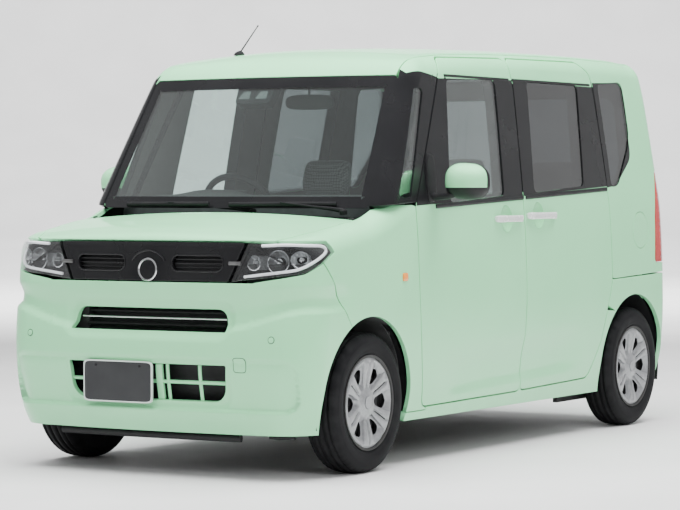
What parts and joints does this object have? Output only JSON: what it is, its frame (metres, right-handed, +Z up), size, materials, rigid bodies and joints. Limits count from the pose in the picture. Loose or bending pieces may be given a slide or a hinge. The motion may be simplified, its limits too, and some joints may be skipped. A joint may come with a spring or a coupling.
{
  "type": "kei car",
  "caption": "Tall kei-class wagon in pale mint green with hinged front doors, sliding rear doors, a tailgate, steering and rolling wheels.",
  "frame": {"origin": "on the ground under the middle of the length and of the width", "axes": "+X to the car's left, -Y to its front, +Z up"},
  "size_m": [1.923, 3.3947, 1.8406],
  "materials": {
    "black_trim": "grained black plastic",
    "body_paint": "pale mint-green two-stage paint, glossy",
    "cast_metal": "cast and machined metal",
    "chassis_steel": "black-painted steel",
    "chrome_trim": "plated trim",
    "clear_glass": "green-tinted safety glass",
    "cover_silver": "silver-painted wheel cover",
    "dash_plastic": "dark grey grained plastic",
    "gloss_black": "gloss black film and panels",
    "lamp_lens": "clear lamp lens",
    "privacy_glass": "dark privacy glass",
    "red_lens": "red and clear lamp lens",
    "seat_fabric": "grey woven fabric with a small check",
    "tyre_rubber": "black tyre rubber"
  },
  "bodies": {
    "root": {"aerial": "black_trim", "body_side_left": "body_paint", "body_side_right": "body_paint", "cabin_mirror": "black_trim", "cowl_panel": "black_trim", "dashboard": "dash_plastic", "engine_block": "cast_metal", "exhaust": "cast_metal", "fenders": "body_paint", "fixed_side_glass": "privacy_glass", "floor_pan": "chassis_steel", "front_bumper": "body_paint", "front_seats": "seat_fabric", "front_structure": "chassis_steel", "front_subframe": "chassis_steel", "fuel_tank": "chassis_steel", "headlamps": "lamp_lens", "radiator": "cast_metal", "rear_axle": "chassis_steel", "rear_bumper": "body_paint", "rear_seat": "seat_fabric", "roof_panel": "body_paint", "sliding_door_glass": "privacy_glass", "sliding_door_left": "body_paint", "sliding_door_right": "body_paint", "sliding_handles": "chrome_trim", "tail_lamps": "red_lens", "undertray": "black_trim", "upper_grille": "gloss_black", "windscreen": "clear_glass", "wipers": "black_trim"},
    "front_door_left": {"front_door_left": "body_paint", "front_door_glass_left": "clear_glass", "mirror_left": "body_paint", "door_handle_left": "chrome_trim"},
    "front_door_right": {"front_door_right": "body_paint", "front_door_glass_right": "clear_glass", "mirror_right": "body_paint", "door_handle_right": "chrome_trim"},
    "hood": {"hood": "body_paint"},
    "tailgate": {"tailgate": "body_paint", "tailgate_glass": "privacy_glass"},
    "fuel_flap": {"fuel_flap": "body_paint"},
    "steer_left": {"knuckle_left": "cast_metal"},
    "steer_right": {"knuckle_right": "cast_metal"},
    "steering_wheel": {"steering_wheel": "dash_plastic"},
    "wheel_front_left": {"wheel_front_left": "cover_silver", "tyre_front_left": "tyre_rubber"},
    "wheel_front_right": {"wheel_front_right": "cover_silver", "tyre_front_right": "tyre_rubber"},
    "wheel_rear_left": {"wheel_rear_left": "cover_silver", "tyre_rear_left": "tyre_rubber"},
    "wheel_rear_right": {"wheel_rear_right": "cover_silver", "tyre_rear_right": "tyre_rubber"}
  },
  "joints": [
    {"name": "front_door_left_hinge", "type": "hinge", "parent": "root", "child": "front_door_left", "pos_m": [0.728, -0.75996, 0.869], "axis": [0, 0, -1], "range_deg": [0, 68]},
    {"name": "front_door_right_hinge", "type": "hinge", "parent": "root", "child": "front_door_right", "pos_m": [-0.728, -0.75996, 0.869], "axis": [0, 0, 1], "range_deg": [0, 68]},
    {"name": "hood_hinge", "type": "hinge", "parent": "root", "child": "hood", "pos_m": [0, -1.14667, 1], "axis": [-1, 0, 0], "range_deg": [0, 55]},
    {"name": "tailgate_hinge", "type": "hinge", "parent": "root", "child": "tailgate", "pos_m": [0, 1.56212, 1.72143], "axis": [1, 0, 0], "range_deg": [0, 80]},
    {"name": "fuel_flap_hinge", "type": "hinge", "parent": "root", "child": "fuel_flap", "pos_m": [0.72559, 1.23382, 0.91962], "axis": [0, 0, -1], "range_deg": [0, 85]},
    {"name": "steer_left_joint", "type": "hinge", "parent": "root", "child": "steer_left", "pos_m": [0.5871, -1.1725, 0.2], "axis": [-0.1328, 0, 0.9911], "range_deg": [-33, 33]},
    {"name": "steer_right_joint", "type": "hinge", "parent": "root", "child": "steer_right", "pos_m": [-0.5871, -1.1725, 0.2], "axis": [0.1328, 0, 0.9911], "range_deg": [-33, 33]},
    {"name": "steering_wheel_joint", "type": "hinge", "parent": "root", "child": "steering_wheel", "pos_m": [-0.345, -0.44984, 1.01492], "axis": [0, 0.8829, 0.4695], "range_deg": [-528, 528]},
    {"name": "wheel_front_left_spin", "type": "hinge", "parent": "steer_left", "child": "wheel_front_left", "pos_m": [0.65, -1.1725, 0.27875], "axis": [1, 0, 0], "continuous": true},
    {"name": "wheel_front_right_spin", "type": "hinge", "parent": "steer_right", "child": "wheel_front_right", "pos_m": [-0.65, -1.1725, 0.27875], "axis": [1, 0, 0], "continuous": true},
    {"name": "wheel_rear_left_spin", "type": "hinge", "parent": "root", "child": "wheel_rear_left", "pos_m": [0.65, 1.2875, 0.27875], "axis": [1, 0, 0], "continuous": true},
    {"name": "wheel_rear_right_spin", "type": "hinge", "parent": "root", "child": "wheel_rear_right", "pos_m": [-0.65, 1.2875, 0.27875], "axis": [1, 0, 0], "continuous": true}
  ],
  "couplings": [
    {"joint": "steer_right_joint", "follows": "steer_left_joint", "ratio": 1},
    {"joint": "steering_wheel_joint", "follows": "steer_left_joint", "ratio": 16}
  ]
}
